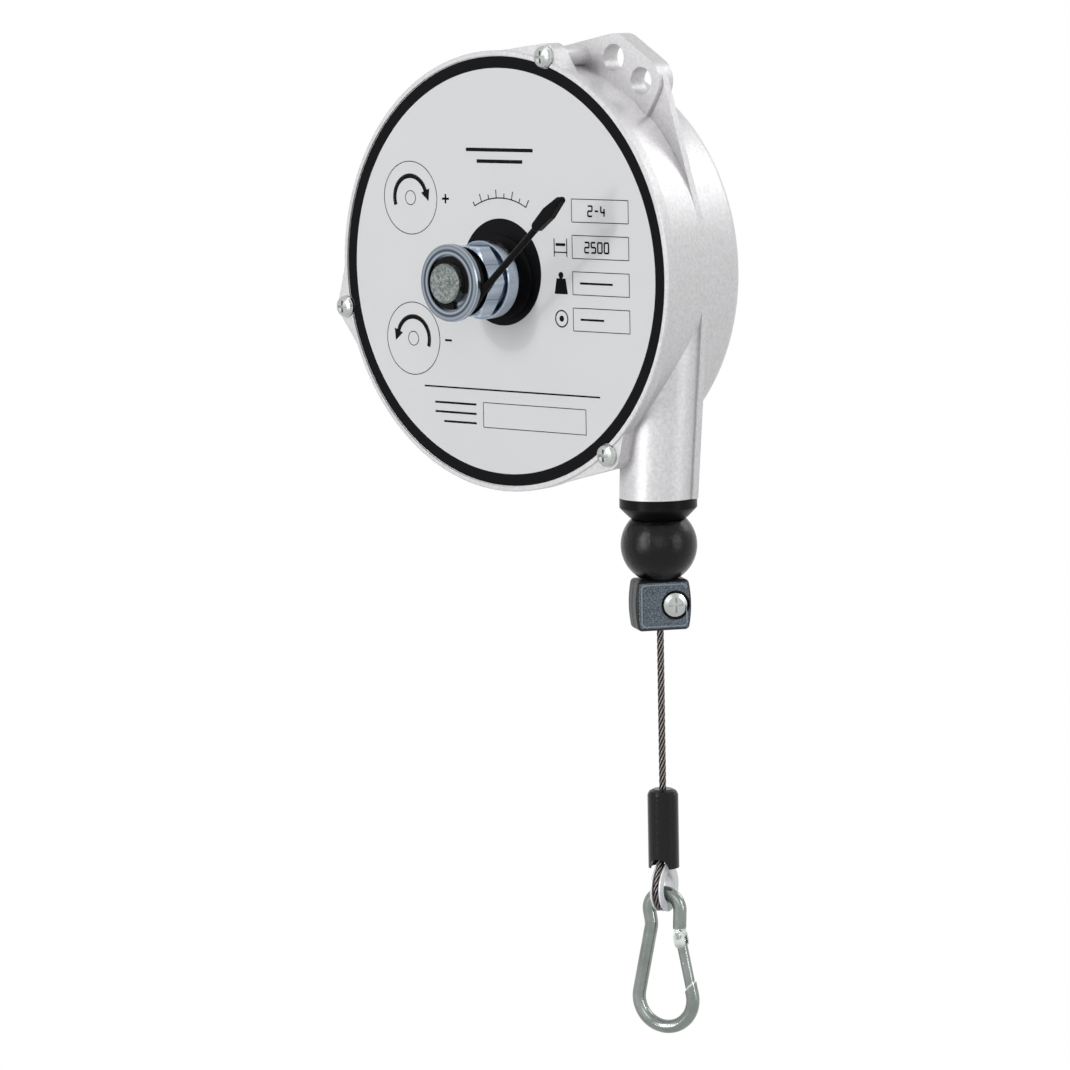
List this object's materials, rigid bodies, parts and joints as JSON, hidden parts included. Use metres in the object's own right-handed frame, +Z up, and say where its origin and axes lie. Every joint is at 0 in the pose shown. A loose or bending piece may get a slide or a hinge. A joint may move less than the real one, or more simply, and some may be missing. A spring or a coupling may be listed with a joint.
{
  "type": "spring tool balancer",
  "caption": "Spring tool balancer: round cast case with a suspension lug, adjusting hub, brake lever, cord spout, stop ball, cord clamp and snap hook.",
  "frame": {"origin": "centre of the suspension hole, halfway through the lug plate", "axes": "+Z up, the way the case hangs; +Y from the label to the back of the case, along the suspension hole; +X to the right seen from the label"},
  "size_m": [0.1898, 0.1016, 0.4197],
  "materials": {
    "cast_aluminium": "shot-blasted casting",
    "label": "satin film with black print",
    "zinc": "zinc plated",
    "turned_steel": "turned, zinc plated",
    "black_steel": "blackened",
    "black_plastic": "satin black",
    "white_plastic": "white",
    "drum_aluminium": "machined",
    "bronze": "sintered bronze",
    "spring_steel": "blued spring strip",
    "steel_cord": "stranded galvanised steel"
  },
  "bodies": {
    "housing": {"housing_body": "cast_aluminium", "front_cover": "cast_aluminium", "front_label": "label", "cover_screw_1": "zinc", "cover_screw_2": "zinc", "cover_screw_3": "zinc", "hub_bush": "black_plastic", "center_axle": "turned_steel", "axle_washer": "zinc", "axle_nut": "zinc", "rope_guide": "black_plastic", "brake_ring": "turned_steel", "axle_circlip": "black_steel"},
    "drum_assembly": {"drum": "drum_aluminium", "spring_cover": "zinc", "spring_cover_screw_1": "zinc", "spring_cover_screw_2": "zinc", "spring_cover_screw_3": "zinc", "spring_cover_screw_4": "zinc", "drum_front_bush": "bronze", "drum_rear_bush": "bronze", "power_spring": "spring_steel", "rope_winding": "steel_cord", "rope_anchor": "zinc"},
    "adjuster": {"adjust_hub": "turned_steel"},
    "brake_lever": {"brake_spring": "black_steel", "lever_grip": "black_plastic"},
    "load": {"rope": "steel_cord", "stop_ball": "black_plastic", "clamp_front": "black_plastic", "clamp_rear": "black_plastic", "clamp_screw": "zinc", "clamp_nut": "zinc", "rope_sleeve": "black_plastic", "rope_ferrule": "drum_aluminium", "thimble": "white_plastic"},
    "hook": {"hook_body": "zinc", "gate_pin": "zinc"},
    "gate": {"hook_gate": "zinc"}
  },
  "joints": [
    {"name": "drum_spin", "type": "hinge", "parent": "housing", "child": "drum_assembly", "pos_m": [-0.0433, 0, -0.0912], "axis": [0, 1, 0], "range_deg": [0, 2238], "stiffness_Nm_per_rad": 0.0205, "springref_deg": -4469.07},
    {"name": "load_travel", "type": "slide", "parent": "housing", "child": "load", "axis": [0, 0, -1], "range_m": [0, 2.5]},
    {"name": "adjuster_turn", "type": "hinge", "parent": "housing", "child": "adjuster", "pos_m": [-0.0433, 0, -0.0912], "axis": [0, 1, 0], "range_deg": [-1080, 1080]},
    {"name": "brake_release", "type": "hinge", "parent": "housing", "child": "brake_lever", "pos_m": [-0.0433, 0, -0.0912], "axis": [0, 1, 0], "range_deg": [0, 12], "stiffness_Nm_per_rad": 0.6, "springref_deg": -8.59},
    {"name": "hook_swing", "type": "hinge", "parent": "load", "child": "hook", "pos_m": [0.0207, -0.0044, -0.34935], "axis": [0.9537, 0.3007, 0], "range_deg": [-40, 40]},
    {"name": "gate_open", "type": "hinge", "parent": "hook", "child": "gate", "pos_m": [0.02728, -0.00232, -0.367], "axis": [-0.3007, 0.9537, 0], "range_deg": [0, 28], "stiffness_Nm_per_rad": 0.05, "springref_deg": -28.65}
  ],
  "couplings": [
    {"joint": "load_travel", "follows": "drum_spin", "m_per_rad": 0.064}
  ]
}
